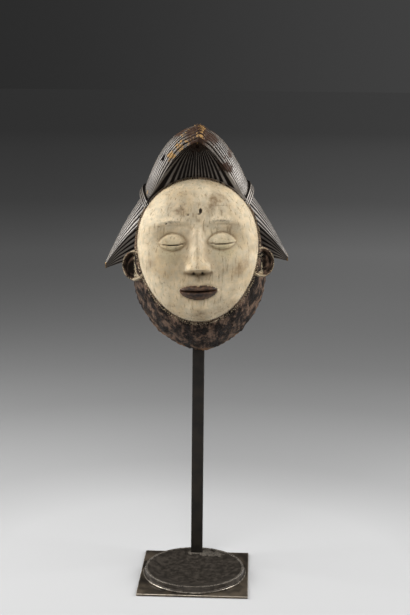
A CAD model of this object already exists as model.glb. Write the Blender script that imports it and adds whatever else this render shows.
from functools import partial

import bmesh
import bpy
import numpy as np
from mathutils import Matrix, Vector


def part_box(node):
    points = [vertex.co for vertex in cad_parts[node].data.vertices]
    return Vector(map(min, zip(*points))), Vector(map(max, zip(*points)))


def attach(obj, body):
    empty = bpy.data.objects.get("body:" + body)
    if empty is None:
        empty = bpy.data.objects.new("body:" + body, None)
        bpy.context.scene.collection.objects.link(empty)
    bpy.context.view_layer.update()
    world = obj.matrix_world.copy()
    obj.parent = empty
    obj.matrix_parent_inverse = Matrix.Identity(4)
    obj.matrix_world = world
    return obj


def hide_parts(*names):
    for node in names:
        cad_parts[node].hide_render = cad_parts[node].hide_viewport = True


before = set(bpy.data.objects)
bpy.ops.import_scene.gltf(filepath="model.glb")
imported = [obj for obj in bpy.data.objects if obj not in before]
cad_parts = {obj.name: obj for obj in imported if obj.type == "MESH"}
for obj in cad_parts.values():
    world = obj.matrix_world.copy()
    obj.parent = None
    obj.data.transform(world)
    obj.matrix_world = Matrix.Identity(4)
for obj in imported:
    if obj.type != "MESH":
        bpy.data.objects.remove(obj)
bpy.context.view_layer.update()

# The view: a long lens a metre and a half in front of the mask, a little above it and to its
# right, looking down. Lengths are metres and angles degrees.
IMAGE_HEIGHT = 615
LENS_PIXELS = 1196.0
SENSOR_HEIGHT = 36.0
CAMERA_PLACE = (0.0743, -1.518, 0.670)
CAMERA_PITCH = 11.2
CAMERA_YAW = 2.4
CAMERA_ROLL = 0.56

view_lens = bpy.data.cameras.new("view_lens")
view_lens.sensor_fit = "VERTICAL"
view_lens.sensor_height = SENSOR_HEIGHT
view_lens.lens = LENS_PIXELS / IMAGE_HEIGHT * SENSOR_HEIGHT
camera = bpy.data.objects.new("view_camera", view_lens)
bpy.context.scene.collection.objects.link(camera)
camera.matrix_world = (
    Matrix.Translation(CAMERA_PLACE)
    @ Matrix.Rotation(np.radians(CAMERA_YAW), 4, "Z")
    @ Matrix.Rotation(np.radians(90 - CAMERA_PITCH), 4, "X")
    @ Matrix.Rotation(np.radians(CAMERA_ROLL), 4, "Z")
)
bpy.context.scene.camera = camera
bpy.context.scene.view_settings.view_transform = "Standard"


# The studio: a pale floor whose light fades to grey with the distance from the stand, a tall
# soft box on each side, and a broad soft one in front and above. Far away the floor glows as
# grey as the room behind it, a little lighter to the right.
FLOOR_REACH = 40.0
FADE_REACH = 12.0
FLOOR_FADE = (
    (0.0, 0.61), (0.30, 0.56), (0.49, 0.43), (0.67, 0.39), (0.88, 0.34), (12.0, 0.34))
FLOOR_GLOW = (
    (0.0, 0.0), (1.2, 0.0), (2.0, 0.040), (3.0, 0.062), (4.8, 0.036), (8.9, 0.028), (12.0, 0.020))
PAPER_ROUGHNESS = 0.85
DISTANT_GREY = 0.037
SIDE_REACH = 0.25
SIDE_GREYS = (0.66, 1.5)
SOFT_BOXES = (
    ("left_soft_box", (-1.25, 0.10, 0.80), (0.7, 1.3), 22.0),
    ("right_soft_box", (1.25, 0.10, 0.80), (0.7, 1.3), 22.0),
    ("front_soft_box", (-0.35, -1.30, 1.75), (1.4, 1.1), 25.0),
)
LIGHT_TARGET = Vector((0.0, 0.03, 0.42))


def add(tree, kind, inputs=None, **settings):
    """One node with its settings; an input is a plain value or the socket that feeds it."""
    made = tree.nodes.new(kind)
    for key, value in settings.items():
        setattr(made, key, value)
    for key, value in (inputs or {}).items():
        if isinstance(value, bpy.types.NodeSocket):
            tree.links.new(value, made.inputs[key])
        else:
            made.inputs[key].default_value = value
    return made


def tree_of(*values):
    """The node tree that the first socket among some values belongs to."""
    return next(value.id_data for value in values if isinstance(value, bpy.types.NodeSocket))


def calc(operation, a, b, clamp=False):
    """The result of one operation on two values."""
    made = add(
        tree_of(a, b), "ShaderNodeMath", {0: a, 1: b}, operation=operation, use_clamp=clamp)
    return made.outputs[0]


plus, minus, times, larger = (
    partial(calc, operation) for operation in ("ADD", "SUBTRACT", "MULTIPLY", "MAXIMUM"))


def between(value, low, high, start=0.0, end=1.0):
    """A value that goes smoothly from start to end while another goes from low to high."""
    inputs = {"Value": value, "From Min": low, "From Max": high, "To Min": start, "To Max": end}
    made = add(tree_of(value), "ShaderNodeMapRange", inputs, interpolation_type="SMOOTHSTEP")
    return made.outputs["Result"]


def blend(factor, a, b, kind="MIX"):
    """Two colours blended by a factor."""
    made = add(
        tree_of(factor, a, b), "ShaderNodeMix", {0: factor, 6: a, 7: b}, data_type="RGBA",
        blend_type=kind)
    return made.outputs[2]


def new_material(name, settings):
    """A material, its shader with plain settings, and its object coordinates."""
    material = bpy.data.materials.new(name)
    material.use_nodes = True
    shader = material.node_tree.nodes["Principled BSDF"]
    for key, value in settings.items():
        shader.inputs[key].default_value = value
    return material, shader, add(material.node_tree, "ShaderNodeTexCoord").outputs["Object"]


def grey_ramp(value, stops):
    """A grey that follows its stops, which are distances and greys."""
    made = add(tree_of(value), "ShaderNodeValToRGB", {"Fac": value})
    while len(made.color_ramp.elements) < len(stops):
        made.color_ramp.elements.new(1.0)
    for element, (distance, grey) in zip(made.color_ramp.elements, stops):
        element.position = (distance / FADE_REACH) ** 0.5
        element.color = (grey, grey, grey, 1)
    return made.outputs["Color"]


def sideways(direction, length):
    """A factor that rises from the left of the stand to its right."""
    across = add(tree_of(direction), "ShaderNodeSeparateXYZ", {0: direction}).outputs["X"]
    return between(calc("DIVIDE", across, length), -SIDE_REACH, SIDE_REACH, *SIDE_GREYS)


floor_mesh = bpy.data.meshes.new("floor")
floor_mesh.from_pydata(
    [(x * FLOOR_REACH, y * FLOOR_REACH, 0) for x, y in ((-1, -1), (1, -1), (1, 1), (-1, 1))],
    [], [(0, 1, 2, 3)])
floor = bpy.data.objects.new("floor", floor_mesh)
bpy.context.scene.collection.objects.link(floor)
paper, shader, place = new_material(
    "pale_paper", {"Roughness": PAPER_ROUGHNESS, "Emission Strength": 1.0})
tree = paper.node_tree
apart = add(tree, "ShaderNodeVectorMath", {0: place}, operation="LENGTH").outputs["Value"]
part_way = calc("POWER", calc("DIVIDE", apart, FADE_REACH, clamp=True), 0.5)
glow = blend(1.0, grey_ramp(part_way, FLOOR_GLOW), sideways(place, apart), "MULTIPLY")
tree.links.new(grey_ramp(part_way, FLOOR_FADE), shader.inputs["Base Color"])
tree.links.new(glow, shader.inputs["Emission Color"])
floor_mesh.materials.append(paper)

for name, spot, size, power in SOFT_BOXES:
    box_light = bpy.data.lights.new(name, "AREA")
    box_light.shape = "RECTANGLE"
    box_light.size, box_light.size_y = size
    box_light.energy = power
    soft_box = bpy.data.objects.new(name, box_light)
    soft_box.location = spot
    soft_box.rotation_euler = (LIGHT_TARGET - Vector(spot)).to_track_quat("-Z", "Y").to_euler()
    bpy.context.scene.collection.objects.link(soft_box)

surroundings = bpy.data.worlds.new("studio_dark")
surroundings.use_nodes = True
tree = surroundings.node_tree
direction = add(tree, "ShaderNodeTexCoord").outputs["Generated"]
tree.links.new(
    times(DISTANT_GREY, sideways(direction, 1.0)), tree.nodes["Background"].inputs["Color"])
bpy.context.scene.world = surroundings


# The base plate: a square of thick steel sheet with a dark brown patina, its edges dressed with
# a file. The bare metal shows through where the edges and corners have been handled.
MM = 0.001
PLATE_CORNER = 1.2
PLATE_CHAMFER = 0.5
EDGE_REACH = 2.2
EDGE_SHARE = 0.8
SHARPEST_CORNER = 0.2
PATINA_BROWN = (0.030, 0.024, 0.018, 1)
PATINA_LIGHT = (0.125, 0.098, 0.068, 1)
WORN_STEEL = (0.40, 0.35, 0.28, 1)


def set_values(mesh, values):
    """Gives every point of a mesh its surface values, by their names."""
    for key, value in values.items():
        layer = mesh.attributes.new(key, "FLOAT", "POINT")
        layer.data.foreach_set("value", value.astype(np.float32))


def solid_mesh(name, points, quads, triangles, material, values):
    """A mesh object from arrays of points in millimetres, quads and triangles."""
    mesh = bpy.data.meshes.new(name)
    mesh.vertices.add(len(points))
    mesh.vertices.foreach_set("co", (points * MM).astype(np.float32).ravel())
    corners = np.concatenate([quads.ravel(), triangles.ravel()])
    mesh.loops.add(len(corners))
    mesh.loops.foreach_set("vertex_index", corners.astype(np.int32))
    sizes = np.concatenate([np.full(len(quads), 4), np.full(len(triangles), 3)])
    mesh.polygons.add(len(sizes))
    mesh.polygons.foreach_set("loop_start", (np.cumsum(sizes) - sizes).astype(np.int32))
    mesh.update(calc_edges=True)
    set_values(mesh, values)
    mesh.materials.append(material)
    piece = bpy.data.objects.new(name, mesh)
    bpy.context.scene.collection.objects.link(piece)
    return piece


def skin(name, rings, material, fields=None):
    """A closed mesh over rings of points in millimetres, each end closed by a fan. A field
    holds one value for every point of the rings."""
    rings = np.asarray(rings, float)
    count, around = rings.shape[:2]
    points = np.concatenate([rings.reshape(-1, 3), rings[[0, -1]].mean(1)])
    at = np.arange(count * around).reshape(count, around)
    after = np.roll(at, -1, 1)
    walls = np.stack([at[:-1], after[:-1], after[1:], at[1:]], -1).reshape(-1, 4)
    caps = np.concatenate([
        np.stack([after[0], at[0], np.full(around, count * around)], -1),
        np.stack([at[-1], after[-1], np.full(around, count * around + 1)], -1),
    ])
    volume = sum(
        (points[a] * np.cross(points[b], points[c])).sum()
        for a, b, c in (walls.T[:3], walls.T[[0, 2, 3]], caps.T))
    if volume < 0:
        walls, caps = walls[:, ::-1], caps[:, ::-1]
    values = {}
    for key, grid in (fields or {}).items():
        grid = np.broadcast_to(np.asarray(grid, float), (count, around))
        values[key] = np.append(grid.ravel(), (grid[0].mean(), grid[-1].mean()))
    return solid_mesh(name, points, walls, caps, material, values)


def finish_smooth(piece, sharp_angle=40):
    """Smooth shading that keeps edges sharper than an angle."""
    mesh = piece.data
    mesh.polygons.foreach_set("use_smooth", np.ones(len(mesh.polygons), bool))
    mesh.set_sharp_from_angle(angle=np.radians(sharp_angle))


def xyz(x, y, z):
    """Points from their coordinates, which may be single numbers."""
    return np.stack(np.broadcast_arrays(x, y, z), -1)


def rounded_outline(half_x, half_y, radius, steps=6):
    """A rectangle with rounded corners, as x and y arrays."""
    turn = np.concatenate([np.linspace(q, q + 1, steps) for q in range(4)]) * np.pi / 2
    middle = np.repeat([[1, 1], [-1, 1], [-1, -1], [1, -1]], steps, 0)
    x = middle[:, 0] * (half_x - radius) + radius * np.cos(turn)
    y = middle[:, 1] * (half_y - radius) + radius * np.sin(turn)
    return x, y


def dressed_block(name, low, high, corner, chamfer, material):
    """A block between two corners in metres, with rounded uprights and dressed edges, and an
    edge value that is 1 on its edges and 0 away from them."""
    low, high = np.array(low) / MM, np.array(high) / MM
    middle, half = (low + high) / 2, (high - low) / 2
    reach = min(EDGE_REACH, half[2] * EDGE_SHARE)
    rings, edge = [], []
    for inset, height, value in (
        (EDGE_REACH + chamfer, low[2], 0),
        (chamfer, low[2], 1),
        (0, low[2] + chamfer, 1),
        (0, low[2] + reach, 0),
        (0, high[2] - reach, 0),
        (0, high[2] - chamfer, 1),
        (chamfer, high[2], 1),
        (EDGE_REACH + chamfer, high[2], 0),
    ):
        radius = max(corner - inset, SHARPEST_CORNER)
        x, y = rounded_outline(half[0] - inset, half[1] - inset, radius)
        rings.append(xyz(x + middle[0], y + middle[1], height))
        edge.append(np.full(len(x), float(value)))
    piece = skin(name, rings, material, {"edge": edge})
    finish_smooth(piece)
    return piece


def effect(name, sizes, results):
    """A shader node group that takes a place and some values, and gives its results."""
    group = bpy.data.node_groups.new(name, "ShaderNodeTree")
    group.interface.new_socket("Place", in_out="INPUT", socket_type="NodeSocketVector")
    for direction, keys in (("INPUT", sizes), ("OUTPUT", results)):
        for key in keys:
            group.interface.new_socket(key, in_out=direction, socket_type="NodeSocketFloat")
    given, wanted = group.nodes.new("NodeGroupInput"), group.nodes.new("NodeGroupOutput")
    return group, given.outputs, wanted.inputs


def place_effect(group, place, values):
    """Places an effect in a material with its own values, and gives its outputs."""
    inputs = {"Place": place, **values}
    return add(tree_of(place), "ShaderNodeGroup", inputs, node_tree=group).outputs


def noise(place, size, detail, roughness):
    """A cloudy value from 0 to 1 at a place."""
    inputs = {"Vector": place, "Scale": size, "Detail": detail, "Roughness": roughness}
    return add(tree_of(place, size), "ShaderNodeTexNoise", inputs).outputs["Fac"]


def stirred(value, cloud, amount, middle=0.5):
    """A value moved up and down by a cloudy one."""
    return plus(value, times(minus(cloud, middle), amount))


def value_of(place, name):
    """A surface value that the mesh carries, for the material of a place."""
    return add(tree_of(place), "ShaderNodeAttribute", attribute_name=name).outputs["Fac"]


def dress(shader, looks, height, strength, depth):
    """Feeds the inputs of a shader, and a relief of heights with a depth in metres."""
    tree = shader.id_data
    relief = add(
        tree, "ShaderNodeBump", {"Height": height, "Strength": strength, "Distance": depth})
    for key, value in {**looks, "Normal": relief.outputs["Normal"]}.items():
        tree.links.new(value, shader.inputs[key])


# Mottled patina: cloudy patches, and a fine tooth that catches the light.
CLOUD_SPAN = (0.35, 0.68)
patina, given, wanted = effect("mottled_patina", ("Cloud Size", "Tooth Size"), ("Cloud", "Height"))
cloud = noise(given["Place"], given["Cloud Size"], 6.0, 0.6)
patina.links.new(between(cloud, *CLOUD_SPAN), wanted["Cloud"])
patina.links.new(noise(given["Place"], given["Tooth Size"], 4.0, 0.7), wanted["Height"])

# Worn edges: what an edge value lets through where a noise is strong.
RUB_STRENGTH = 1.6
RUB_SPAN = (0.55, 1.05)
edge_wear, given, wanted = effect("edge_wear", ("Edge", "Patch Size", "Amount"), ("Mask",))
rub = noise(given["Place"], given["Patch Size"], 5.0, 0.65)
rubbed = between(stirred(given["Edge"], rub, RUB_STRENGTH), *RUB_SPAN)
edge_wear.links.new(times(rubbed, given["Amount"]), wanted["Mask"])

METAL_ROUGH_SPREAD = 0.14
BARE_METAL = 0.9
BARE_POLISH = 0.15


def patinated_metal(name, dark, light, worn, rough, metal, wear, clouds=38.0):
    """Dark patinated metal with worn edges and a fine tooth."""
    material, shader, place = new_material(name, {"Specular IOR Level": 0.5})
    look = place_effect(patina, place, {"Cloud Size": clouds, "Tooth Size": 900.0})
    bare = place_effect(edge_wear, place, {
        "Edge": value_of(place, "edge"), "Patch Size": 160.0, "Amount": wear})["Mask"]
    dull = between(look["Cloud"], 0.0, 1.0, rough, rough + METAL_ROUGH_SPREAD)
    dress(shader, {
        "Base Color": blend(bare, blend(look["Cloud"], dark, light), worn),
        "Roughness": minus(dull, times(bare, BARE_POLISH)),
        "Metallic": between(bare, 0.0, 1.0, metal, BARE_METAL),
    }, look["Height"], strength=0.25, depth=0.0004)
    return material


plate_steel = patinated_metal(
    "plate_patinated_steel", PATINA_BROWN, PATINA_LIGHT, WORN_STEEL,
    rough=0.48, metal=0.55, wear=1.0)
low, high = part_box("base_plate")
base_plate = dressed_block(
    "base_plate_dressed", low, high, PLATE_CORNER, PLATE_CHAMFER, plate_steel)
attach(base_plate, "root")
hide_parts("base_plate")


# The dish: turned on a lathe with a low flange, a thin rim, and a recess that slopes down to a
# flat floor. The bar stands in a slot cut through it, and the rim has worn bright.
DISH_RIM = 66.5
DISH_LIP = 2.5
DISH_FLANGE_HEIGHT = 2.0
DISH_FLOOR = 44.0
DISH_FLOOR_HEIGHT = 3.0
DISH_STEPS = 160
TURNING_PITCH = 1.1
TURNING_DEPTH = 0.035
SLOT_GAP = 0.3
SLOT_BEYOND = 10.0
SLOT_CORNER = 0.4
SLOT_CHAMFER = 0.1
# The slope behind the bar is rubbed bare, around an angle of the dish and to each side.
HANDLED_TOWARDS = np.radians(76)
HANDLED_REACH = np.radians(34)
HANDLED_WIDTH = 9.0
HANDLED_WEAR = 1.1
DISH_BROWN = (0.042, 0.035, 0.028, 1)
DISH_LIGHT = (0.098, 0.082, 0.066, 1)
DISH_WORN = (0.62, 0.55, 0.46, 1)


def lathe_line(corners, pitch):
    """Points along a turned profile, about one pitch apart, with the edge value of each."""
    corners = np.array(corners, float)
    runs = []
    for start, end in zip(corners, corners[1:]):
        steps = max(1, int(np.hypot(*(end - start)[:2]) / pitch))
        runs.append(start + (end - start) * (np.arange(steps)[:, None] / steps))
    return np.concatenate([*runs, corners[-1:]]).T


def swell(offset, reach):
    """A soft round swelling: one at its middle, fading to nothing."""
    return np.exp(-((offset / reach) ** 2))


low, high = (np.array(v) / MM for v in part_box("base_dish"))
flange = (high[0] - low[0]) / 2
bottom, top = low[2], high[2]
flange_top, floor_top = bottom + DISH_FLANGE_HEIGHT, bottom + DISH_FLOOR_HEIGHT
# The radius, the height and the edge value at each corner of the profile.
dish_profile = [
    (1.0, bottom, 0),
    (flange - 0.4, bottom, 0),
    (flange, bottom + 0.4, 0.8),
    (flange, flange_top - 0.5, 0.8),
    (flange - 0.5, flange_top, 1),
    (DISH_RIM + 1.2, flange_top + 0.1, 0),
    (DISH_RIM + 0.2, flange_top + 1.0, 0),
    (DISH_RIM, top - 1.2, 0.2),
    (DISH_RIM - 0.25, top - 0.25, 1),
    (DISH_RIM - 0.8, top, 1),
    (DISH_RIM - DISH_LIP + 0.5, top, 0.8),
    (DISH_RIM - DISH_LIP, top - 0.3, 1),
    (DISH_RIM - DISH_LIP - 1.5, top - 1.0, 0),
    (DISH_FLOOR + 3.0, floor_top + 1.0, 0),
    (DISH_FLOOR, floor_top + 0.2, 0.15),
    (DISH_FLOOR - 3.0, floor_top, 0),
    (1.0, floor_top, 0),
]
radii, heights, edges = lathe_line(dish_profile, TURNING_PITCH)[..., None]
inside = (radii < DISH_RIM - DISH_LIP - 1) & (heights > floor_top - 0.1)
heights = heights - TURNING_DEPTH * inside * (np.arange(len(radii)) % 2)[:, None]
turn = np.linspace(0, 2 * np.pi, DISH_STEPS, endpoint=False)
dish_rings = xyz(radii * np.cos(turn), radii * np.sin(turn), heights)
handled = swell(turn - HANDLED_TOWARDS, HANDLED_REACH) * swell(
    radii - (DISH_FLOOR + DISH_RIM) / 2, HANDLED_WIDTH) * (heights > floor_top)
dish_metal = patinated_metal(
    "dish_patinated_metal", DISH_BROWN, DISH_LIGHT, DISH_WORN,
    rough=0.36, metal=0.6, wear=0.95, clouds=150.0)
dish = skin("base_dish_turned", dish_rings, dish_metal, {
    "edge": np.maximum(edges, HANDLED_WEAR * handled)})


def carve(piece, other, operation="UNION"):
    """Joins another solid to a piece, or cuts it away, and removes the other."""
    change = piece.modifiers.new("carve", "BOOLEAN")
    change.object = other
    change.operation = operation
    change.solver = "MANIFOLD"
    change.material_mode = "TRANSFER"
    scene_graph = bpy.context.evaluated_depsgraph_get()
    shaped = bpy.data.meshes.new_from_object(piece.evaluated_get(scene_graph))
    piece.modifiers.remove(change)
    piece.data = shaped
    bpy.data.objects.remove(other)


bar_low, bar_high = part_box("upright_bar")
grow = Vector((SLOT_GAP, SLOT_GAP, SLOT_BEYOND)) * MM
slot_cutter = dressed_block(
    "dish_slot", bar_low - grow, bar_high + grow, SLOT_CORNER, SLOT_CHAMFER, dish_metal)
carve(dish, slot_cutter, "DIFFERENCE")
finish_smooth(dish)
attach(dish, "root")
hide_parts("base_dish")


# The upright: a length of hot-rolled flat bar, blackened and left matt, with the soft edges that
# the rolling leaves. It stands in the dish, and the mask hangs on its upper end.
BAR_CORNER = 0.8
BAR_CHAMFER = 0.5
BAR_BLACK = (0.010, 0.008, 0.006, 1)
BAR_SCALE_BROWN = (0.026, 0.020, 0.014, 1)
BAR_RUBBED = (0.09, 0.08, 0.07, 1)

bar_steel = patinated_metal(
    "bar_blackened_steel", BAR_BLACK, BAR_SCALE_BROWN, BAR_RUBBED,
    rough=0.55, metal=0.35, wear=0.7, clouds=60.0)
upright_bar = dressed_block(
    "upright_bar_rolled", bar_low, bar_high, BAR_CORNER, BAR_CHAMFER, bar_steel)
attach(upright_bar, "root")
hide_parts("upright_bar")


# The mask's face: carved from the front of the block, smoothed, and painted with white clay.
# Lengths are millimetres in the mask's own upright frame, whose back rim lies at y = 0.
FACE_HALF_WIDTH = 79.0
FACE_MIDDLE = -10.0
FACE_RISE = 89.0
FACE_DROP = 97.0
FACE_EDGE = 54.0
FACE_DOME = 33.0
FACE_FULLNESS = 2.5
FACE_TAPER = 0.06
FACE_COLUMNS = 168
FACE_ROWS = 200
FACE_CROWDING = 0.75
FACE_FADE = 6
FACE_WAVES = ((0.28, 13, 11), (0.12, 4.5, 12))
FACE_THIRD = (FACE_RISE + FACE_DROP) / 3
BROW_HEIGHT = FACE_MIDDLE + FACE_RISE - FACE_THIRD
NOSE_BASE = BROW_HEIGHT - FACE_THIRD
EYE_WIDTH = FACE_HALF_WIDTH * 2 / 5
EYE_HEIGHT = BROW_HEIGHT - FACE_THIRD / 3
MOUTH_HEIGHT = NOSE_BASE - FACE_THIRD / 3
TINY = 1e-6
# Round forms, as height, place aside, half width, place up and half height. Those of the brow
# are placed from the middle of its own line.
FOREHEAD = (4, 0, 46, BROW_HEIGHT + FACE_THIRD / 2, 27)
CHEEK = (5, 40, 20, NOSE_BASE + 14, 22)
EYE_SOCKET = (-8, EYE_WIDTH, 19, EYE_HEIGHT + 5, 13)
NOSE_WING = (8, EYE_WIDTH * 0.36, 5.5, NOSE_BASE + 7, 7)
WING_CREASE = (-1.0, EYE_WIDTH * 0.53, 1.6, NOSE_BASE + 6, 5)
NOSTRIL = (-5, 5.6, 2.3, NOSE_BASE + 1.4, 1.8)
MUZZLE = (5, 0, 30, MOUTH_HEIGHT, 19)
CHIN = (7, 0, 18, MOUTH_HEIGHT - 27, 11)
BROW_BOW = 6
BROW_RIDGE = (2.4, 0, 24, 0, 4.6)
BROW_FOOT = (-0.5, 0, 18, -4.8, 1.6)
BROW_STAIN = (0.62, 0, 21, -0.5, 2.4)
EYE_HALF_WIDTH = EYE_WIDTH * 0.56
EYE_FULLNESS = 7
LID_HEIGHT = EYE_WIDTH * 0.34
LID_TAPER = 0.7
LID_FOLD_GAP = 1.6
LID_FOLD_DEPTH = 0.7
SLIT_DROP = 1.5
SLIT_SAG = 2.5
SLIT_HALF_HEIGHT = 0.85
SLIT_TAPER = 0.3
SLIT_DEPTH = 2.6
NOSE_TOP = 7
NOSE_TOP_FADE = 18
NOSE_BASE_FADE = 5
BRIDGE_HEIGHTS = (5.5, 21.0)
BRIDGE_HALF_WIDTHS = (5.6, 11.2)
BRIDGE_SLOPE = 1.3
BRIDGE_ROUNDNESS = 2.2
LIP_GROOVE_HALF_WIDTH = 2.6
LIP_GROOVE_DEPTH = 1.1
LIP_GROOVE_FOOT = (8, 12)
LIP_GROOVE_TOP = (-1, 3)
MOUTH_HALF_WIDTH = EYE_WIDTH * 0.8
MOUTH_SAG = 2.0
LIP_BOW = ((-0.16, 0, 4), (0.04, 7, 5))
LIP_HEIGHTS = (8.5, 10.5)
LIP_FULLNESS = (5.4, 6.4)
LIP_TAPER = 0.6
LIP_ROUNDNESS = 0.75
LIP_FADE = 0.4
LIP_CORNER = 0.12
PARTING_DEPTH = 2.4
# Old damage, as x, z, half width, half height and depth.
FACE_DENTS = (
    (5.3, 35.3, 1.7, 3.2, 3.2), (3.4, 31.4, 2.6, 1.3, 1.2), (-10.8, 30.7, 1.3, 1.2, 1.6),
    (-39.2, 20.1, 1.0, 0.8, 1.8), (-48.5, 16.7, 0.9, 0.7, 1.6), (13.5, 15.4, 1.2, 0.9, 0.8),
    (-26.5, 36.4, 4.0, 1.0, 0.5), (-17.5, 37.4, 1.4, 1.0, 0.9), (-32.5, 40.4, 1.0, 0.8, 0.8),
    (31.5, 41.4, 9.0, 0.9, 0.5), (-37.5, -88.0, 1.0, 4.5, 1.8), (-5.0, -101.5, 3.0, 1.6, 1.6),
    (15.0, -102.5, 4.2, 1.5, 1.8), (-24.0, -97.5, 3.0, 1.4, 1.4), (36.0, -93.0, 2.2, 1.6, 1.2),
)
DENT_DARK = 1.4


def ramp(value, low, high):
    """Goes smoothly from 0 to 1 while a value goes from low to high."""
    share = np.clip((value - low) / (high - low), 0, 1)
    return share * share * (3 - 2 * share)


def mix(a, b, share):
    return a + (b - a) * share


def rough(points, pitch, seed):
    """Smooth random heights from -1 to 1 at points, that change over a length of one pitch."""
    size = 32
    table = np.random.default_rng(seed).uniform(-1, 1, (size, size, size))
    scaled = np.asarray(points, float) / pitch
    cell = np.floor(scaled).astype(int)
    share = scaled - cell
    share = share * share * (3 - 2 * share)
    total = 0
    for corner in np.ndindex(2, 2, 2):
        at = (cell + corner) % size
        weight = np.where(corner, share, 1 - share).prod(-1)
        total = total + weight * table[at[..., 0], at[..., 1], at[..., 2]]
    return total


def face_outline(angle, border=0.0):
    """The egg-shaped edge of the face at an angle, as x and z."""
    reach = np.where(np.sin(angle) > 0, FACE_RISE, FACE_DROP)
    width = (FACE_HALF_WIDTH + border) * (1 + FACE_TAPER * np.sin(angle))
    return width * np.cos(angle), FACE_MIDDLE + (reach + border) * np.sin(angle)


def mound(across, z, form):
    """Heights of one round form."""
    height, aside, half_width, up, half_height = form
    return height * swell(across - aside, half_width) * swell(z - up, half_height)


def brow_and_eyes(across, z):
    """Heights of the brow and the closed eye, and how much each place is a dark slit."""
    aside = across - EYE_WIDTH
    above = z - BROW_HEIGHT - BROW_BOW * (1 - (aside / EYE_WIDTH) ** 2)
    almond = np.clip(1 - (aside / EYE_HALF_WIDTH) ** 2, 0, 1)
    lid_height = LID_HEIGHT * almond ** LID_TAPER + TINY
    lid = np.clip(1 - ((z - EYE_HEIGHT) / lid_height) ** 2, 0, 1)
    slit_line = EYE_HEIGHT - SLIT_DROP - SLIT_SAG * almond
    slit = swell(z - slit_line, SLIT_HALF_HEIGHT) * almond ** SLIT_TAPER
    fold = swell(z - EYE_HEIGHT - lid_height - LID_FOLD_GAP, 1.0) * almond ** 0.5
    height = mound(aside, above, BROW_RIDGE) + mound(aside, above, BROW_FOOT)
    height += EYE_FULLNESS * (lid * almond) ** 0.5 - SLIT_DEPTH * slit - LID_FOLD_DEPTH * fold
    return height, np.maximum(slit, mound(aside, above, BROW_STAIN))


def nose(across, z):
    """Heights of the nose and its wings, and how much each place is a nostril."""
    down = np.clip((BROW_HEIGHT - z) / FACE_THIRD, 0, 1)
    width = mix(*BRIDGE_HALF_WIDTHS, down)
    bridge = mix(*BRIDGE_HEIGHTS, down ** BRIDGE_SLOPE)
    bridge = bridge * np.exp(-((across / width) ** BRIDGE_ROUNDNESS))
    bridge = bridge * ramp(BROW_HEIGHT + NOSE_TOP - z, 0, NOSE_TOP_FADE)
    nostril = mound(across, z, NOSTRIL)
    height = (bridge + mound(across, z, NOSE_WING)) * ramp(z - NOSE_BASE, 0, NOSE_BASE_FADE)
    return height + nostril, nostril / NOSTRIL[0]


def mouth(across, z):
    """Heights of the mouth, and how much each place is lip or the line between."""
    over = z - MOUTH_HEIGHT
    groove = swell(across, LIP_GROOVE_HALF_WIDTH) * ramp(over, *LIP_GROOVE_FOOT)
    groove = groove * ramp(NOSE_BASE - z, *LIP_GROOVE_TOP)
    span = np.clip(1 - (across / MOUTH_HALF_WIDTH) ** 2, 0, 1)
    over = over + MOUTH_SAG * span
    bow = 1 + sum(rise * swell(across - aside, reach) for rise, aside, reach in LIP_BOW)
    tall = span ** LIP_TAPER
    upper = np.clip(over / (LIP_HEIGHTS[0] * bow * tall + TINY), 0, 1)
    lower = np.clip(-over / (LIP_HEIGHTS[1] * tall + TINY), 0, 1)
    lips = sum(
        full * np.sin(np.pi * lip ** LIP_ROUNDNESS)
        for full, lip in zip(LIP_FULLNESS, (upper, lower)))
    parting = swell(over, 1.0) * span ** LIP_FADE
    on_lip = ((upper > 0) & (upper < 1) | (lower > 0) & (lower < 1)) * (span > 0)
    height = lips * span ** LIP_FADE - LIP_GROOVE_DEPTH * groove - PARTING_DEPTH * parting
    return height, on_lip * ramp(span, 0.0, LIP_CORNER), parting


def face_forms(x, z):
    """Relief of the face over its dome, with how dark and how much lip each place is."""
    across = np.abs(x)
    eyes, dark = brow_and_eyes(across, z)
    bridge, nostril = nose(across, z)
    lips, lip, parting = mouth(across, z)
    dents = np.zeros_like(x)
    for dent_x, dent_z, half_width, half_height, depth in FACE_DENTS:
        apart = np.hypot((x - dent_x) / half_width, (z - dent_z) / half_height)
        dents = np.maximum(dents, depth * np.exp(-(apart ** 3)))
    height = eyes + bridge + lips - dents
    for form in (FOREHEAD, CHEEK, EYE_SOCKET, WING_CREASE, MUZZLE, CHIN):
        height = height + mound(across, z, form)
    dark = np.maximum.reduce([dark, nostril, parting, np.clip(dents / DENT_DARK, 0, 1)])
    return height, dark, lip


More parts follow.
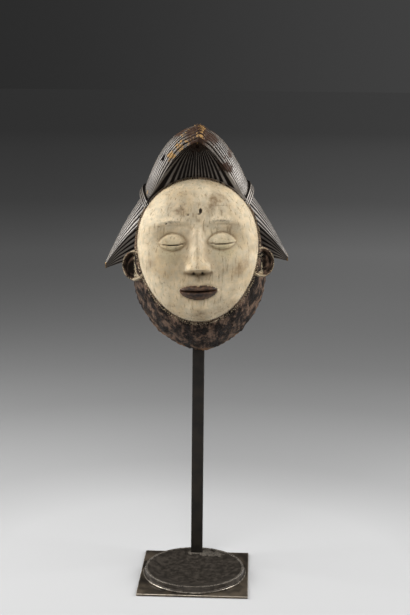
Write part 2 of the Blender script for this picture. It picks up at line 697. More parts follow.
def carved_face(material):
    """The face as a square grid drawn onto the egg, closed behind by a fan."""
    def lines(count):
        even = np.linspace(-1, 1, count + 1)
        return mix(even, np.sin(even * np.pi / 2), FACE_CROWDING)

    u, v = np.meshgrid(lines(FACE_COLUMNS), lines(FACE_ROWS))
    across = u * np.sqrt(1 - v * v / 2)
    up = v * np.sqrt(1 - u * u / 2)
    share = np.minimum(1, np.hypot(across, up))
    edge_x, edge_z = face_outline(np.arctan2(up, across))
    x, z = edge_x * share, mix(FACE_MIDDLE, edge_z, share)
    relief, dark, lip = face_forms(x, z)
    relief += sum(height * rough(xyz(x, 0, z), *layer) for height, *layer in FACE_WAVES)
    fade = np.minimum(1, (1 - share) * FACE_FADE)
    depth = FACE_EDGE + FACE_DOME * (1 - share ** FACE_FULLNESS) ** 0.5 + relief * fade
    at = np.arange(x.size).reshape(x.shape)
    quads = np.stack([at[:-1, :-1], at[:-1, 1:], at[1:, 1:], at[1:, :-1]], -1).reshape(-1, 4)
    rim = np.concatenate([at[0, :-1], at[:-1, -1], at[-1, :0:-1], at[:0:-1, 0]])
    fan = np.stack([np.roll(rim, -1), rim, np.full(len(rim), x.size)], -1)
    points = np.append(
        xyz(x, -depth, z).reshape(-1, 3), [(0, -FACE_EDGE / 2, FACE_MIDDLE)], axis=0)
    values = {"clay": (1 - share) * FACE_HALF_WIDTH, "dark": dark * fade, "lip": lip * fade}
    values = {key: np.append(value.ravel(), 0) for key, value in values.items()}
    return solid_mesh("face", points, quads, fan, material, values)


# The head behind the face: its sides and the beard under it, left rough from the adze and
# rubbed with dark colour, with the lower rim worn brown.
RIM_HALF_WIDTH = 90.0
RIM_MIDDLE = -47.0
RIM_DROP = 101.0
RIM_RISE = 160.0
RIM_SQUARENESS = 1.8
RIM_WALL = 13.0
RIM_ROUND = 1.2
RIM_CHIPS = (0.8, 0.7, 23)
BEARD_BELLY = 0.62
FACE_BORDER = 2.5
HEAD_STEPS = 250
HEAD_LEVELS = 42
# A cut's width and length, its depth and its seed, for the adze and for the finer streaks.
ADZE_CUT = (7.5, 16, 1.3, 21)
STREAK_CUT = (1.7, 11, 0.8, 22)
CLAY_SMEAR = 12


def rim_outline(angle, wall=0.0):
    """The back rim at an angle, moved inwards by a wall, as x and z."""
    reach = np.where(np.sin(angle) > 0, RIM_RISE, RIM_DROP)
    bend = lambda value: np.sign(value) * np.abs(value) ** (2 / RIM_SQUARENESS)
    x = (RIM_HALF_WIDTH - wall) * bend(np.cos(angle))
    return x, RIM_MIDDLE + (reach - wall) * bend(np.sin(angle))


def carved_head(material):
    """The head from the edge of the face back to the rim."""
    angle = np.linspace(0, 2 * np.pi, HEAD_STEPS, endpoint=False)[None]
    level = np.linspace(0, 1, HEAD_LEVELS)[:, None]
    face_x, face_z = face_outline(angle, FACE_BORDER)
    rim_x, rim_z = rim_outline(angle)
    belly = level ** BEARD_BELLY
    x, z = mix(face_x, rim_x, belly), mix(face_z, rim_z, belly)
    y = -FACE_EDGE * (1 - level)
    apart = np.hypot(x, z - RIM_MIDDLE)
    (cut, deep), (streaks, fine) = (
        (xyz(angle * RIM_HALF_WIDTH / wide, y / long, 0), (depth, seed))
        for wide, long, depth, seed in (ADZE_CUT, STREAK_CUT))
    streaked = rough(streaks, 1, fine[1])
    hollowed = (deep[0] * (0.5 + 0.5 * rough(cut, 1, deep[1])) + fine[0] * streaked)
    hollowed = hollowed * ramp(level, 0.0, 0.1) + RIM_ROUND * ramp(level, 0.96, 1.0)
    chips = RIM_CHIPS[0] * rough(cut, *RIM_CHIPS[1:]) * ramp(level, 0.9, 1)
    inwards = 1 - (hollowed + chips) / apart
    x, z = x * inwards, RIM_MIDDLE + (z - RIM_MIDDLE) * inwards
    return skin("head", xyz(x, y, z), material, {
        "clay": -np.hypot(y + FACE_EDGE, belly * CLAY_SMEAR),
        "worn": ramp(level, 0.75, 1.0) * ramp(-np.sin(angle), 0.2, 0.7),
        "groove": 0.5 + 0.5 * streaked})


# The hollow behind the face, scooped out with a curved adze and left bare, with the marks
# of the blade running down it.
HOLLOW_DEPTH = 64.0
HOLLOW_CHIN_LOSS = 0.3
HOLLOW_FULLNESS = 2.6
HOLLOW_RINGS = 34
HOLLOW_STEPS = 140
HOLLOW_BEYOND = 5
HOLLOW_FLARE = 1.02
SCOOP_LENGTH = 15.0
SCOOP_WIDTH = 8.0
SCOOP_DEPTH = 0.7
SCOOP_WANDER = (0.3, 30, 31)
SCOOP_BITES = (0.6, 1, 32)


def hollow_form(material):
    """The solid that the adze took out behind the face."""
    angle = np.linspace(0, 2 * np.pi, HOLLOW_STEPS, endpoint=False)[None]
    share = np.sin(np.linspace(1, 0.02, HOLLOW_RINGS) * np.pi / 2)[:, None]
    edge_x, edge_z = rim_outline(angle, RIM_WALL)
    x, z = edge_x * share, mix(RIM_MIDDLE, edge_z, share)
    chin = np.clip((RIM_MIDDLE - z) / (RIM_DROP - RIM_WALL), 0, 1)
    full = HOLLOW_DEPTH * (1 - HOLLOW_CHIN_LOSS * chin)
    depth = full * np.clip(1 - share ** HOLLOW_FULLNESS, 0, 1) ** 0.5
    wander = SCOOP_WANDER[0] * rough(xyz(x, 0, z), *SCOOP_WANDER[1:])
    bites = SCOOP_BITES[0] * rough(xyz(x / SCOOP_WIDTH, 0, z / SCOOP_LENGTH), *SCOOP_BITES[1:])
    scoop = SCOOP_DEPTH * (np.abs(np.sin(np.pi * (x / SCOOP_WIDTH + wander))) + bites)
    depth = depth - scoop * ramp(1 - share, 0, 0.12)
    opening = xyz(edge_x * HOLLOW_FLARE, HOLLOW_BEYOND, mix(RIM_MIDDLE, edge_z, HOLLOW_FLARE))
    return skin("hollow", np.concatenate([opening, xyz(x, -depth, z)]), material)


# The crest: a hood of hair carved in strands that sweep from temple to temple, with a lip over
# the forehead, an open vault under it, and a notched keel down its middle.
CREST_STRANDS = 18
CREST_STRAND_DEPTH = 3.0
CREST_EDGE_SHARE = 0.75
CREST_WANDER = (0.22, 19, 41)
CREST_WEAR = (0.35, 24, 42)
CREST_WAVES = (0.25, 5, 43)
CREST_LENGTH = 105
CREST_UPRIGHT = 66
CREST_LEAST_UPRIGHT = 14
CREST_LEAN = 0.25
CREST_ROUNDNESS = 2.1
CREST_CROWDING = 1.12
CREST_GOUGE = (-41.3, -71.2, 106.9)
CREST_GOUGE_SIZE = (2.6, 4.0, 4.6)
CREST_GOUGE_DEPTH = 4.0
CREST_BULGE = 27.0
TEMPLE_BULGE = 7.0
TEMPLE_ANGLE = np.radians(38)
KEEL_RISE = 1.5
KEEL_ASIDE = 4.0
KEEL_SPREAD = 60
KEEL_HALF_WIDTH = 3.0
KEEL_FLANK = 1.3
KEEL_GUTTER = (1.7, 1.0, 0.6)
KEEL_END = (0.86, 0.96)
KEEL_WORN_END = (0.22, 0.36)
KEEL_NOTCH = 1.4
KEEL_NOTCH_PITCH = 4.6
FAN_APEX = (4.0, 124.0)
FAN_PITCH = 5.6
FAN_DEPTH = 2.0
VAULT_RISES = (9, 1)
VAULT_FORWARD = 0.6
LIP_RAIL = (
    (0, -93, 123), (12.5, -91, 117), (25, -86, 106), (37, -75, 91), (48, -63, 75), (60, -50, 56))
CROWN_RAIL = (
    (0, 0, 122), (19, 0, 118), (35, 0, 107), (49, 0, 91), (61, 0, 74), (70, 0, 58))
CREST_SECTIONS = 72
STRAND_COLUMNS = 7
UNDER_COLUMNS = 36
NO_CLAY = -30.0


def rail(points, share, side=1):
    """Points along a smooth curve through given points, at shares of it from 0 to 1."""
    knots = np.array(points, float) * (side, 1, 1)
    knots = np.concatenate([[2 * knots[0] - knots[1]], knots, [2 * knots[-1] - knots[-2]]])
    spot = np.asarray(share, float) * (len(points) - 1)
    first = np.minimum(spot.astype(int), len(points) - 2)
    part = (spot - first)[..., None]
    before, start, end, beyond = (knots[first + k] for k in range(4))
    gap = lambda a, b: (((a - b) ** 2).sum(-1) ** 0.25)[..., None]
    g0, g1, g2 = gap(before, start), gap(start, end), gap(end, beyond)
    leave = g1 * ((start - before) / g0 - (end - before) / (g0 + g1) + (end - start) / g1)
    arrive = g1 * ((end - start) / g1 - (beyond - start) / (g1 + g2) + (beyond - end) / g2)
    return (
        start + leave * part
        + (3 * (end - start) - 2 * leave - arrive) * part ** 2
        + (2 * (start - end) + leave + arrive) * part ** 3
    )


def strand_profile(position):
    """Height of a rounded strand from 0 in its groove to 1 on its back, along strand counts."""
    across = np.abs(position - np.round(position)) * 2
    return np.sqrt(np.clip(1 - across ** 2.2, 0, 1))


def carved_crest(material):
    """The hood as sections from one temple to the other, each over the band and back under."""
    spread = np.linspace(-1, 1, 2 * CREST_SECTIONS + 1)
    spread = np.sign(spread) * np.abs(spread) ** CREST_CROWDING
    side, along = np.where(spread < 0, -1.0, 1.0), np.abs(spread)
    lip, crown = (rail(line, along) * xyz(side, 1, 1) for line in (LIP_RAIL, CROWN_RAIL))
    lip[:, 0] += KEEL_ASIDE * (1 - along) ** 3
    outward = xyz(
        lip[:, 0] + crown[:, 0], 0, CREST_UPRIGHT * (1 - along ** 2) + CREST_LEAST_UPRIGHT)
    outward /= np.linalg.norm(outward, axis=1, keepdims=True)
    across = np.linspace(0, 1, CREST_STRANDS * STRAND_COLUMNS + 1)[None]
    around = mix(across, 0.5 - 0.5 * np.cos(np.pi * across), CREST_EDGE_SHARE)
    outward = np.repeat(outward[:, None], across.size, 1)
    outward[..., 1] = -CREST_LEAN * (1 - around)
    along = along[:, None]
    bow = (1 - np.abs(2 * around - 1) ** CREST_ROUNDNESS) ** 0.5
    smooth = mix(lip[:, None], crown[:, None], around[..., None])
    smooth = smooth + outward * (mix(CREST_BULGE, TEMPLE_BULGE, along) * bow)[..., None]
    wander = CREST_WANDER[0] * rough(smooth * (1, 0.33, 1), *CREST_WANDER[1:])
    strand = strand_profile(across * CREST_STRANDS + wander * ramp(1 - along, 0, 0.1))
    band = np.abs(spread[:, None] * KEEL_SPREAD - KEEL_ASIDE * (1 - 0.6 * around))
    keel = swell(band, KEEL_HALF_WIDTH) * (1 - ramp(around, *KEEL_END))
    flank = swell(band, KEEL_HALF_WIDTH * KEEL_FLANK)
    notch = np.abs(np.sin(np.pi * around * CREST_LENGTH / KEEL_NOTCH_PITCH))
    flat = CREST_WEAR[0] * ramp(rough(smooth, *CREST_WEAR[1:]), 0.1, 0.8)
    lift = -CREST_STRAND_DEPTH * mix(1, 0.7, along) * (1 - flat) * (1 - strand) * (1 - flank)
    lift += keel * (KEEL_RISE - KEEL_NOTCH * (1 - notch) ** 1.5)
    gutter, gutter_width, gutter_depth = KEEL_GUTTER
    lift -= swell(band - KEEL_HALF_WIDTH * gutter, gutter_width) * gutter_depth
    gouge = np.exp(-(((smooth - CREST_GOUGE) / CREST_GOUGE_SIZE) ** 2).sum(-1))
    lift += CREST_WAVES[0] * rough(smooth, *CREST_WAVES[1:]) - CREST_GOUGE_DEPTH * gouge
    over = smooth + outward * lift[..., None]

    hair_angle = mix(np.pi / 2, TEMPLE_ANGLE, 1 - (1 - along[:, 0]) ** 1.35)
    hair_x, hair_z = face_outline(hair_angle, FACE_BORDER)
    hair = xyz(hair_x * side, -FACE_EDGE - 3, hair_z + 1)
    inner = xyz(hair_x * side * 0.8, 0, hair_z - 12)
    behind = inner * (1, 0, 1) - (0, FACE_EDGE * 0.6, 0)
    share = np.linspace(0, 1, UNDER_COLUMNS, endpoint=False)[None]
    under = mix(hair[:, None], lip[:, None], share[..., None])
    fan_angle = np.degrees(np.arctan2(under[..., 0] - FAN_APEX[0], FAN_APEX[1] - under[..., 2]))
    fan = strand_profile(fan_angle / FAN_PITCH)
    vault = FAN_DEPTH * np.sin(np.pi * mix(0.15, 0.85, share)) * (1 - fan)
    vault += np.sin(np.pi * share) * mix(*VAULT_RISES, along)
    under[..., 2] += vault
    under[..., 1] += vault * VAULT_FORWARD
    hidden = np.zeros((len(along), 2))
    cuts = np.maximum(mix(1 - strand, 1 - notch, keel), ramp(gouge, 0.2, 0.5))
    rubbed = flank * (1 - ramp(around, *KEEL_WORN_END))
    rings = np.concatenate([over, inner[:, None], behind[:, None], under], 1)
    return skin("crest", rings, material, {
        "clay": NO_CLAY,
        "groove": np.concatenate([cuts, hidden, 1 - fan ** 2], 1),
        "shade": np.concatenate([0 * strand, hidden, 0 * fan + 1], 1),
        "worn": np.concatenate([rubbed, hidden, 0 * fan], 1)})


# The tresses: a wedge of strands on each side that hangs outwards from the temple to a blunt
# tip, carved in strands on its front, underside and back.
TRESS_STRAND_DEPTH = 2.1
TRESS_STEPS = 56
TRESS_PLAIN_STEPS = 6
TRESS_TIP_SHARE = 0.085
TRESS_TIP_WORN = 0.93
TRESS_WAVES = (0.35, 7, 51)
TRESS_WAVES_TOWARDS = (1, -1, 0.4)
# Each corner, the strands from it to the next, how far they bow, which way, and their shade.
TRESS_RUNS = (
    ((63, -26, 74), 7, 5, (0.5, -0.7, 0.5), 0),
    ((66, -55, 30), 6, -2, (0, -0.9, -0.4), 1),
    ((64, -32, -24), 0, 0, (0, 0, 0), 1),
    ((64, -8, -20), 0, 0, (0, 0, 0), 0),
    ((62, -3, 66), 5, 2, (0.6, 0.2, 0.7), 0),
)
TRESS_LEFT = ((124, -27, -28), 2.5)
TRESS_RIGHT = ((118, -27, -25), 2.0)


def carved_tress(side, tip, fullness, material):
    """A tress from inside the temple out to its tip."""
    turned = np.array((side, 1, 1.0))
    root, groove, shade = [], [], []
    for (start, strands, bow, outward, dark), (end, *_) in zip(
            TRESS_RUNS, TRESS_RUNS[1:] + TRESS_RUNS[:1]):
        steps = strands * STRAND_COLUMNS or TRESS_PLAIN_STEPS
        share = np.arange(steps)[:, None] / steps
        cut = 1 - strand_profile(share * strands)
        lift = bow * np.sin(np.pi * share) - TRESS_STRAND_DEPTH * cut
        root.append(mix(np.array(start), np.array(end), share) + np.array(outward) * lift)
        groove.append(cut[:, 0])
        shade.append(np.full(steps, float(dark)))
    root = np.concatenate(root) * turned
    middle_root = root.mean(0)
    along = np.linspace(0, 1, TRESS_STEPS + 1)[:, None, None]
    size = mix(1, TRESS_TIP_SHARE, along)
    middle = mix(middle_root, np.array(tip) * turned, along)
    middle = middle + np.sin(np.pi * along) * fullness * np.array((side, 0, 1.0))
    rings = (root - middle_root) * size + middle
    waves = TRESS_WAVES[0] * rough(rings, *TRESS_WAVES[1:])[..., None]
    rings = rings + waves * np.array(TRESS_WAVES_TOWARDS) * turned * size
    return skin("tress", rings, material, {
        "clay": NO_CLAY, "groove": np.concatenate(groove), "shade": np.concatenate(shade),
        "worn": ramp(along[..., 0], TRESS_TIP_WORN, 1.0)})


# The ties: three cords laid side by side round each temple, over the narrow neck of the hair.
TIE_WIDTH = 10.0
TIE_THICKNESS = 4.5
TIE_CORD_SHARES = (0.1, 0.5)
TIE_CORDS = 3
TIE_STEPS = 60
TIE_OUTWARD = (0.75, -0.45, 0.25)
TIE_WAVES = (0.2, 4, 61)
TIE_RAIL = ((66, -2, 76), (71, -17, 73), (72, -30, 67), (69, -44, 56), (64, -55, 44))


def carved_tie(side, material):
    """Three cords along a rail over one temple."""
    middle = rail(TIE_RAIL, np.linspace(0, 1, TIE_STEPS), side)
    outward = np.array(TIE_OUTWARD) * (side, 1, 1)
    outward /= np.linalg.norm(outward)
    across = np.cross(np.gradient(middle, axis=0), outward)
    across /= np.linalg.norm(across, axis=1, keepdims=True)
    columns = np.linspace(0, 1, TIE_CORDS * STRAND_COLUMNS + 1)
    cord = strand_profile(columns * TIE_CORDS - 0.5)
    offset = np.append(columns - 0.5, (0.5, -0.5)) * TIE_WIDTH
    height = np.append(mix(*TIE_CORD_SHARES, cord), (-1, -1)) * TIE_THICKNESS
    rings = middle[:, None] + across[:, None] * offset[:, None] + outward * height[:, None]
    rings = rings + TIE_WAVES[0] * rough(rings, *TIE_WAVES[1:])[..., None] * outward
    return skin("tie", rings, material, {
        "clay": NO_CLAY, "groove": np.append(1 - cord, (0, 0))})


# The ears: dished ovals behind the edge of the face, with a thin rolled rim and an inner fold
# round a deep shell.
EAR_HALF_HEIGHT = 20.0
EAR_HALF_WIDTH = 18.0
EAR_THICKNESS = 7.0
EAR_RIM = 4.0
EAR_RIM_AT = (0.91, 0.085)
EAR_FOLD = 2.6
EAR_FOLD_AT = (0.6, 0.1)
EAR_FOLD_OPEN = (-0.75, -0.1)
EAR_KNOB = 4.0
EAR_KNOB_AT = (0.62, 0.06)
EAR_HOLLOW = 3.0
EAR_HOLLOW_AT = (0.9, 0.2)
EAR_BACK = ((1.0, 0.0), (0.94, -0.3), (0.86, -0.6), (0.5, -1.0))
EAR_WEAR = 0.55
EAR_WAVES = (0.2, 5, 71)
EAR_STEPS = 80
EAR_RINGS = 34
EAR_TURN = 24
EAR_LEFT = (83, -49, -31)
EAR_RIGHT = (82, -49, -31)


def carved_ear(side, spot, material):
    """An ear: its dished front, its rim, and its plain back."""
    angle = np.linspace(0, 2 * np.pi, EAR_STEPS, endpoint=False)[None]
    share = np.linspace(0.04, 1, EAR_RINGS)[:, None]
    rolled = EAR_RIM * np.exp(-np.abs((share - EAR_RIM_AT[0]) / EAR_RIM_AT[1]) ** 3)
    fold = EAR_FOLD * swell(share - EAR_FOLD_AT[0] + 0.1 * np.sin(angle), EAR_FOLD_AT[1])
    shell = EAR_HOLLOW * ramp(EAR_HOLLOW_AT[0] - share, 0, EAR_HOLLOW_AT[1])
    from_knob = np.hypot(share * np.cos(angle) + EAR_KNOB_AT[0], share * np.sin(angle))
    height = rolled + fold * ramp(np.cos(angle), *EAR_FOLD_OPEN) - shell
    height = height + EAR_KNOB * np.exp(-(from_knob ** 2) / EAR_KNOB_AT[1])
    back_share, back_height = np.array(EAR_BACK).T[..., None]
    share = np.concatenate([share, back_share])
    height = np.concatenate([height, back_height * EAR_THICKNESS + 0 * angle])
    x = EAR_HALF_WIDTH * share * np.cos(angle) * side
    z = EAR_HALF_HEIGHT * share * np.sin(angle)
    turned = side * np.radians(EAR_TURN)
    rings = xyz(
        x * np.cos(turned) + height * np.sin(turned) + spot[0] * side,
        x * np.sin(turned) - height * np.cos(turned) + spot[1], z + spot[2])
    rings = rings + EAR_WAVES[0] * rough(rings, *EAR_WAVES[1:])[..., None]
    worn = np.clip(height / EAR_RIM, 0, 1)
    near = 1.5 - np.clip(share * np.cos(angle) - 0.1, 0, 1) * 30
    near = np.maximum(near, mix(-5, 1.2, worn) - 1.2 * np.abs(np.cos(angle * 3)))
    return skin("ear", rings, material, {
        "clay": near, "worn": worn * EAR_WEAR, "groove": np.clip(-height / EAR_HOLLOW, 0, 1)})


# The carved block as a whole: the forms above joined, hollowed behind, and set on the bar with
# the stance that the photograph shows. Its surface values say where it is worn and dark.
MASK_TILT_BACK = 10.0
MASK_ROLL = -2.3
MASK_TURN = 1.4
MASK_SIDE_SHIFT = -2.0
SOFTENING_ROUNDS = 10
CREASE_DEPTH = 0.6
MASK_SHARP_ANGLE = 55
# Patches of the hair rubbed to ochre, left pale or reddish brown, and stains of the clay, brown
# and green, as x, y, z, reach and strength.
PATCHES = {
    "ochre": (
        (4.0, -86, 129, 9, 1.1), (-8, -88, 124, 8, 1.0), (-18, -88, 119, 9, 1.1),
        (-30, -83, 107, 8, 1.1), (-13, -80, 132, 9, 0.8), (4, -70, 143, 10, 0.9),
        (24, -76, 126, 5, 0.8), (-65, -45, 62, 9, 0.7), (-4, -78, 140, 15, 0.4)),
    "pale": (
        (52, -62, 78, 20, 1.0), (62, -48, 60, 14, 0.9), (-44, -68, 84, 16, 0.45),
        (-92, -50, 6, 26, 0.4)),
    "red": (
        (4, -84, 132, 22, 1.1), (22, -80, 128, 15, 0.9), (40, -70, 108, 12, 0.55),
        (36, -74, 94, 14, 0.5), (-16, -66, 142, 22, 0.8), (10, -60, 150, 26, 0.9),
        (24, -40, 140, 26, 0.7), (0, -20, -142, 28, 0.6)),
    "stain": (
        (21, -83, 45, 13, 0.8), (33, -76, 54, 12, 0.5), (-22, -83, 35, 12, 0.8),
        (-34, -80, 42, 10, 0.7), (33, -84, 35, 12, 0.8), (23, -90, 10, 9, 0.8),
        (0, -85, 45, 12, 0.5), (-6, -80, 58, 12, 0.5), (52, -76, -34, 16, 0.5),
        (-40, -82, -45, 16, 0.5), (-58, -70, -20, 14, 0.5), (3, -80, -100, 12, 0.5),
        (26, -74, -98, 10, 0.5), (-22, -76, -96, 10, 0.5), (-12, -96, -4, 10, 0.5)),
    "green": ((-34, -85, -14, 15, 1.0), (34, -85, -14, 15, 1.2), (22, -88, 5, 9, 0.6)),
}


def read_all(items, key, width, kind=np.float32):
    """One property of all the points or edges of a mesh."""
    found = np.empty(len(items) * width, kind)
    items.foreach_get(key, found)
    return found.reshape(-1, width)


def kept_shell(piece):
    """Drops the pockets that joining seals inside the wood, which leave a shell of their own."""
    mesh = piece.data
    a, b = read_all(mesh.edges, "vertices", 2, np.int32).T
    label = np.arange(len(mesh.vertices))
    while True:
        lowest = label.copy()
        np.minimum.at(lowest, a, label[b])
        np.minimum.at(lowest, b, label[a])
        lowest = lowest[lowest]
        if (lowest == label).all():
            break
        label = lowest
    kinds, sizes = np.unique(label, return_counts=True)
    loose = np.nonzero(label != kinds[sizes.argmax()])[0]
    if len(loose):
        work = bmesh.new()
        work.from_mesh(mesh)
        work.verts.ensure_lookup_table()
        bmesh.ops.delete(work, geom=[work.verts[i] for i in loose], context="VERTS")
        work.to_mesh(mesh)
        work.free()


def surface_values(piece, patches):
    """Adds the values of crease and of the patches to a joined piece."""
    mesh = piece.data
    count = len(mesh.vertices)
    place = read_all(mesh.vertices, "co", 3).astype(float) / MM
    normal = read_all(mesh.vertices, "normal", 3)
    a, b = read_all(mesh.edges, "vertices", 2, np.int32).T
    ends, others = np.concatenate([a, b]), np.concatenate([b, a])
    joined = np.bincount(ends, minlength=count)[:, None].clip(1)
    soft = place.copy()
    for _ in range(SOFTENING_ROUNDS):
        total = np.stack([np.bincount(ends, soft[others, k], count) for k in range(3)], -1)
        soft = 0.5 * soft + 0.5 * total / joined
    bulge = ((place - soft) * normal).sum(-1)
    values = {"crease": np.clip(-bulge / CREASE_DEPTH, 0, 1)}
    for key, spots in patches.items():
        values[key] = np.max([
            strength * np.exp(-((place - spot) ** 2).sum(-1) / reach ** 2)
            for *spot, reach, strength in spots], axis=0)
    set_values(mesh, values)


# Old wood: fibres that run down the block, and fine open pores.
FIBRE_STRETCH = (1.0, 1.0, 0.12)
wood_fibre, given, wanted = effect("wood_fibre", ("Fibre Size",), ("Streaks", "Height"))
stretched = add(
    wood_fibre, "ShaderNodeMapping", {"Vector": given["Place"], "Scale": FIBRE_STRETCH})
fibres = noise(stretched.outputs["Vector"], given["Fibre Size"], 6.0, 0.65)
wood_fibre.links.new(between(fibres, 0.3, 0.7), wanted["Streaks"])
wood_fibre.links.new(fibres, wanted["Height"])

# Grime: dark specks and cloudy stains that old handling leaves.
grime, given, wanted = effect("old_grime", ("Stain Size", "Speck Size"), ("Stain", "Specks"))
stain = noise(given["Place"], given["Stain Size"], 7.0, 0.62)
speck = noise(given["Place"], given["Speck Size"], 3.0, 0.8)
grime.links.new(between(stain, 0.42, 0.72), wanted["Stain"])
grime.links.new(between(speck, 0.62, 0.74), wanted["Specks"])

# Dark hair of the crest, the tresses and the ties: greyish on the backs of the strands, black
# between them, and rubbed to ochre or reddish brown in places.
HAIR_BLACK = (0.008, 0.006, 0.005, 1)
HAIR_SHADE = (0.008, 0.005, 0.004, 1)
HAIR_GREY = (0.36, 0.315, 0.27, 1)
HAIR_PALE = (0.66, 0.60, 0.54, 1)
HAIR_RED = (0.060, 0.030, 0.018, 1)
HAIR_OCHRE = (0.46, 0.27, 0.10, 1)
dark_hair, shader, place = new_material(
    "blackened_hair_wood", {"Specular IOR Level": 0.12, "Coat Roughness": 0.3})
fibre = place_effect(wood_fibre, place, {"Fibre Size": 420.0})
dirt = place_effect(grime, place, {"Stain Size": 45.0, "Speck Size": 700.0})
flecks = place_effect(patina, place, {"Cloud Size": 260.0, "Tooth Size": 900.0})
groove, in_shade = value_of(place, "groove"), value_of(place, "shade")
back = between(groove, 0.26, 0.02)
colour = blend(times(back, plus(0.5, times(dirt["Stain"], 0.5))), HAIR_BLACK, HAIR_GREY)
colour = blend(times(back, value_of(place, "pale")), colour, HAIR_PALE)
red = between(stirred(value_of(place, "red"), dirt["Stain"], 0.7), 0.1, 0.5)
colour = blend(times(red, plus(0.5, times(back, 0.5))), colour, HAIR_RED)
worn = larger(value_of(place, "ochre"), value_of(place, "worn"))
rubbed = between(stirred(worn, flecks["Cloud"], 0.7), 0.55, 0.95)
rubbed = times(rubbed, between(groove, 0.45, 0.12))
colour = blend(rubbed, colour, HAIR_OCHRE)
dull = larger(in_shade, larger(red, rubbed))
dress(shader, {
    "Base Color": blend(times(in_shade, 0.5), colour, HAIR_SHADE),
    "Roughness": plus(between(fibre["Streaks"], 0, 1, 0.27, 0.44), times(dull, 0.2)),
    "Coat Weight": times(back, minus(0.75, times(dull, 0.55))),
}, fibre["Height"], strength=0.5, depth=0.0006)

# White clay on the face, thin at its edge, stained brown and green, with dark specks.
CLAY_PALE = (0.77, 0.635, 0.43, 1)
CLAY_CREAM = (0.54, 0.405, 0.235, 1)
CLAY_BROWN = (0.22, 0.14, 0.065, 1)
CLAY_GREY = (0.38, 0.36, 0.285, 1)
CLAY_GREEN = (0.33, 0.29, 0.15, 1)
WOOD_BROWN = (0.055, 0.034, 0.020, 1)
LIP_DARK = (0.016, 0.009, 0.007, 1)
LIP_BROWN = (0.13, 0.07, 0.04, 1)
PIT_BLACK = (0.02, 0.012, 0.008, 1)


def clay_over(place, wood, spread):
    """White clay over bare wood, where the clay value is above zero and a noise lets it lie.
    Gives its colour, its broad clouds and its fine ones."""
    dirt = place_effect(grime, place, {"Stain Size": 34.0, "Speck Size": 300.0})
    broad = place_effect(patina, place, {"Cloud Size": 14.0, "Tooth Size": 1300.0})
    fine = place_effect(patina, place, {"Cloud Size": 130.0, "Tooth Size": 700.0})
    scratch = place_effect(wood_fibre, place, {"Fibre Size": 330.0})
    colour = blend(broad["Cloud"], CLAY_PALE, CLAY_CREAM)
    colour = blend(times(fine["Cloud"], 0.45), colour, CLAY_GREY)
    spots = between(times(value_of(place, "stain"), plus(0.5, dirt["Stain"])), 0.1, 0.9)
    brown = plus(times(dirt["Stain"], 0.42), times(spots, 0.7))
    for amount, over in (
        (brown, CLAY_BROWN),
        (times(value_of(place, "green"), 0.45), CLAY_GREEN),
        (times(value_of(place, "crease"), 0.6), CLAY_BROWN),
        (between(scratch["Height"], 0.54, 0.66, 0.0, 0.6), CLAY_BROWN),
        (times(dirt["Specks"], 0.8), WOOD_BROWN),
    ):
        colour = blend(amount, colour, over)
    cover = between(stirred(value_of(place, "clay"), fine["Height"], spread), 0.2, 1.1)
    return blend(cover, wood, colour), broad, fine


white_clay, shader, place = new_material("white_clay_face", {"Specular IOR Level": 0.35})
colour, broad, fine = clay_over(place, WOOD_BROWN, 9.0)
lip = between(stirred(value_of(place, "lip"), fine["Height"], 0.8), 0.4, 0.7)
colour = blend(lip, colour, blend(fine["Cloud"], LIP_DARK, LIP_BROWN))
pit = between(stirred(value_of(place, "dark"), fine["Height"], 0.7), 0.3, 0.85)
dress(shader, {
    "Base Color": blend(times(pit, 0.94), colour, PIT_BLACK),
    "Roughness": minus(between(broad["Cloud"], 0, 1, 0.56, 0.68), times(lip, 0.15)),
}, fine["Height"], strength=0.5, depth=0.0007)

# Rough wood of the beard and the sides, dark and purplish, worn brown at the rim, with smears
# of clay next to the face.
BEARD_DARK = (0.010, 0.006, 0.004, 1)
BEARD_PURPLE = (0.20, 0.128, 0.088, 1)
BEARD_WORN = (0.20, 0.105, 0.05, 1)
beard_wood, shader, place = new_material("adzed_beard_wood", {"Specular IOR Level": 0.12})
fibre = place_effect(wood_fibre, place, {"Fibre Size": 260.0})
dirt = place_effect(grime, place, {"Stain Size": 60.0, "Speck Size": 380.0})
blotch = place_effect(patina, place, {"Cloud Size": 75.0, "Tooth Size": 500.0})
backs = minus(1.0, value_of(place, "groove"))
streak = plus(times(fibre["Streaks"], 0.55), times(backs, 0.45))
lit = between(plus(times(streak, 0.6), times(blotch["Cloud"], 0.45)), 0.38, 0.85)
brown_rim = between(stirred(value_of(place, "worn"), blotch["Cloud"], 1.1, 0.7), 0.35, 1.0)
wood = blend(brown_rim, blend(lit, BEARD_DARK, BEARD_PURPLE), BEARD_WORN)
wood = blend(times(dirt["Specks"], 0.7), wood, HAIR_BLACK)
dress(shader, {
    "Base Color": clay_over(place, wood, 16.0)[0],
    "Roughness": between(fibre["Streaks"], 0, 1, 0.5, 0.72),
}, plus(fibre["Height"], blotch["Height"]), strength=1.0, depth=0.0022)

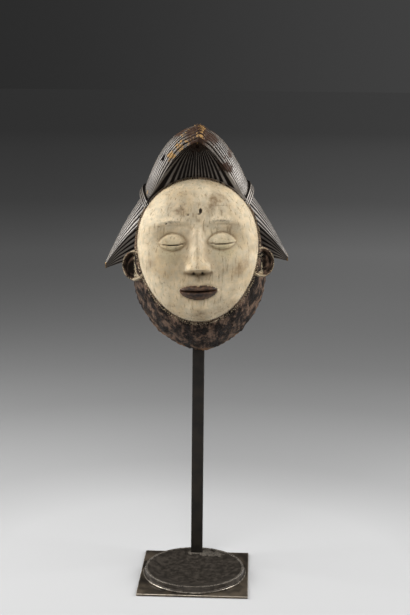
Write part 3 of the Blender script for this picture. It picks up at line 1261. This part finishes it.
# Bare wood inside the hollow, brown from handling and darker in the cuts of the adze.
HOLLOW_BROWN = (0.15, 0.088, 0.046, 1)
HOLLOW_LIGHT = (0.25, 0.16, 0.09, 1)
HOLLOW_STAIN = (0.07, 0.042, 0.025, 1)
HOLLOW_CREASE = (0.05, 0.03, 0.018, 1)
bare_wood, shader, place = new_material("bare_hollow_wood", {"Specular IOR Level": 0.35})
fibre = place_effect(wood_fibre, place, {"Fibre Size": 190.0})
dirt = place_effect(grime, place, {"Stain Size": 16.0, "Speck Size": 300.0})
colour = blend(fibre["Streaks"], HOLLOW_BROWN, HOLLOW_LIGHT)
colour = blend(times(dirt["Stain"], 0.7), colour, HOLLOW_STAIN)
dress(shader, {
    "Base Color": blend(value_of(place, "crease"), colour, HOLLOW_CREASE),
    "Roughness": between(fibre["Streaks"], 0, 1, 0.62, 0.8),
}, fibre["Height"], strength=0.5, depth=0.001)

mask = carved_head(beard_wood)
carve(mask, carved_face(white_clay))
carve(mask, carved_crest(dark_hair))
for side, (tip, fullness), ear_spot in ((-1, TRESS_LEFT, EAR_LEFT), (1, TRESS_RIGHT, EAR_RIGHT)):
    carve(mask, carved_tress(side, tip, fullness, dark_hair))
    carve(mask, carved_tie(side, dark_hair))
    carve(mask, carved_ear(side, ear_spot, beard_wood))
kept_shell(mask)
carve(mask, hollow_form(bare_wood), "DIFFERENCE")
kept_shell(mask)
surface_values(mask, PATCHES)
mask.name = "mask_carved"
mask.data.name = "mask_carved"
finish_smooth(mask, MASK_SHARP_ANGLE)

# The stance: tilted back, rolled and turned, with the inside of the chin rim against the bar's
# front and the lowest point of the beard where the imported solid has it.
turned = (
    Matrix.Rotation(np.radians(MASK_TURN), 4, "Z")
    @ Matrix.Rotation(np.radians(-MASK_TILT_BACK), 4, "X")
    @ Matrix.Rotation(np.radians(MASK_ROLL), 4, "Y")
)
chin_inside = turned @ Vector((0, 0, RIM_MIDDLE - RIM_DROP + RIM_WALL)) * MM
chin_edge = turned @ Vector((0, 0, RIM_MIDDLE - RIM_DROP)) * MM
mask_low, mask_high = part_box("mask")
mask.data.transform(Matrix.Translation((
    MASK_SIDE_SHIFT * MM,
    bar_low.y - SLOT_GAP * MM - chin_inside.y,
    mask_low.z - chin_edge.z,
)) @ turned)
mask.data.update()
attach(mask, "root")
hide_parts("mask")
